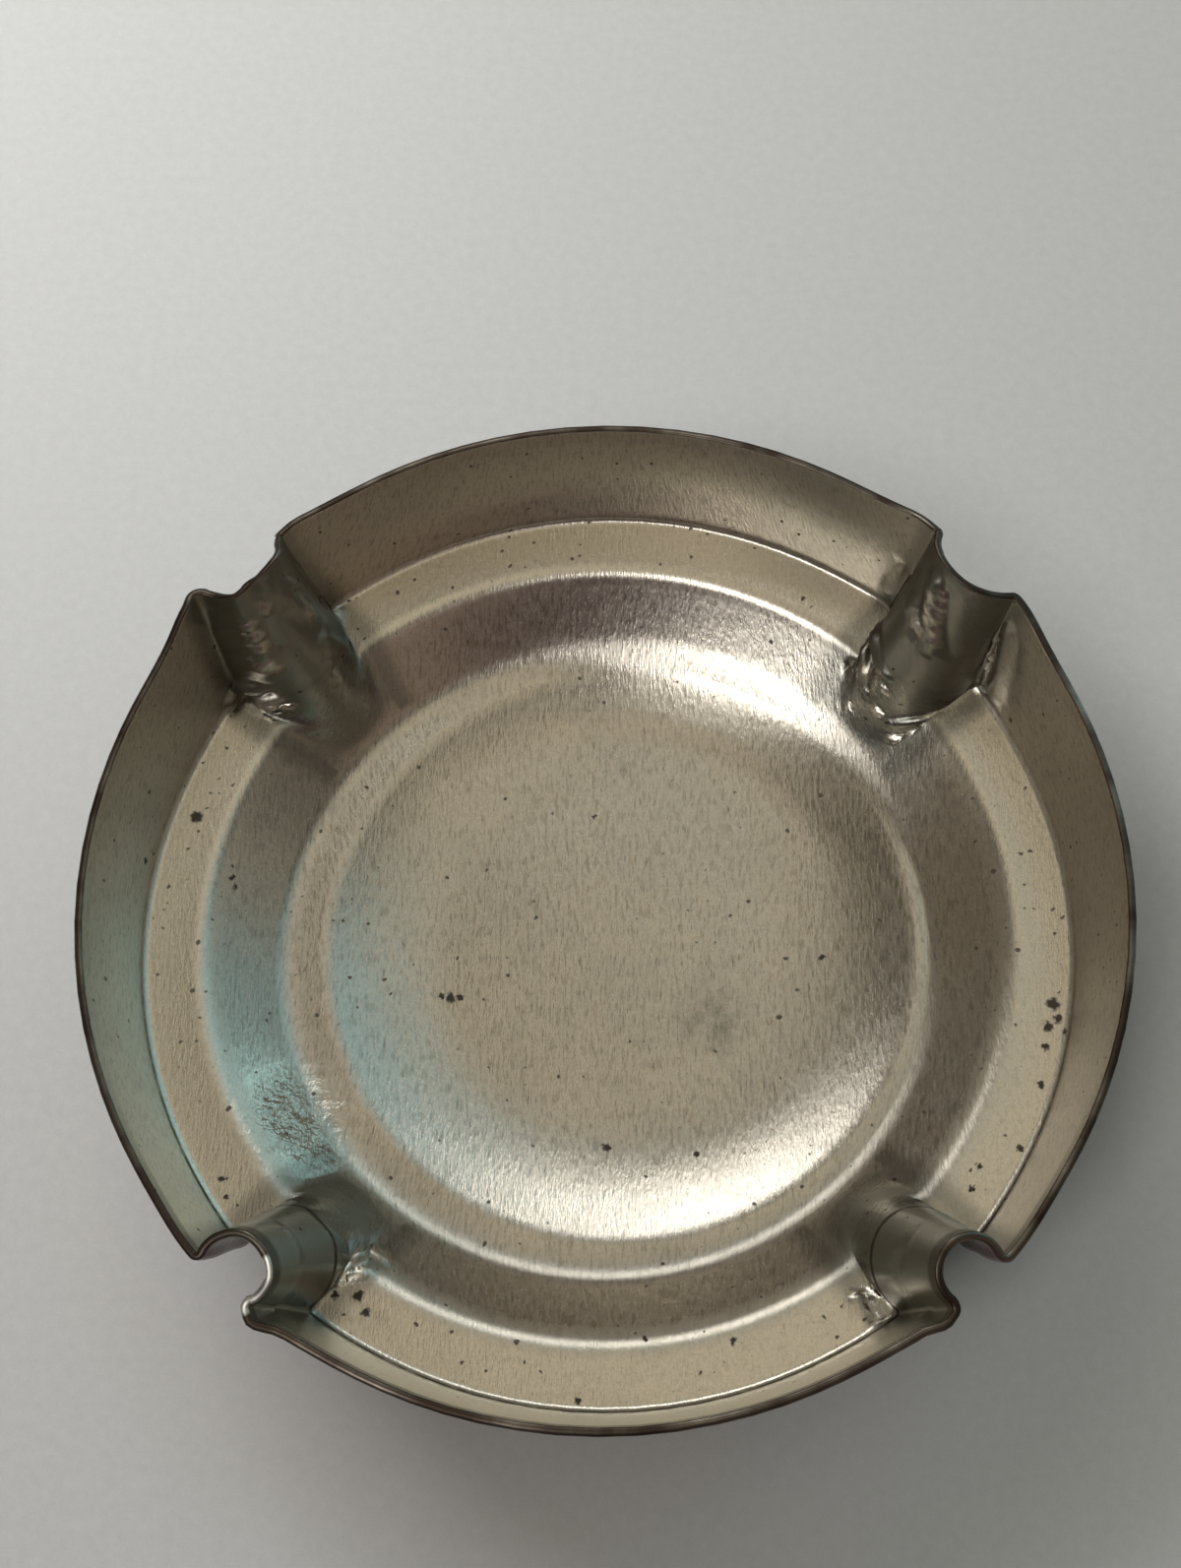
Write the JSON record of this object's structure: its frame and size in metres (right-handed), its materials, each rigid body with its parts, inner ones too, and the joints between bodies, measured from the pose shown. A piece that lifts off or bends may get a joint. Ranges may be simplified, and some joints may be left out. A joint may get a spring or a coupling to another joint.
{
  "type": "champagne capsule",
  "caption": "Round pressed tinplate cap with a slightly domed face, a stepped wire seat and a flared skirt notched by grooves for the cage wires.",
  "frame": {"origin": "centre of the flat middle of the closed face that the capsule rests on", "axes": "+Z along the axis towards the open side; the wide pair of wire grooves lies either side of +Y and the narrow pair either side of -Y"},
  "size_m": [0.031, 0.031, 0.0078],
  "materials": {
    "tinplate": "bare rolled tin, lightly tarnished"
  },
  "bodies": {
    "root": {"capsule": "tinplate"}
  },
  "joints": []
}
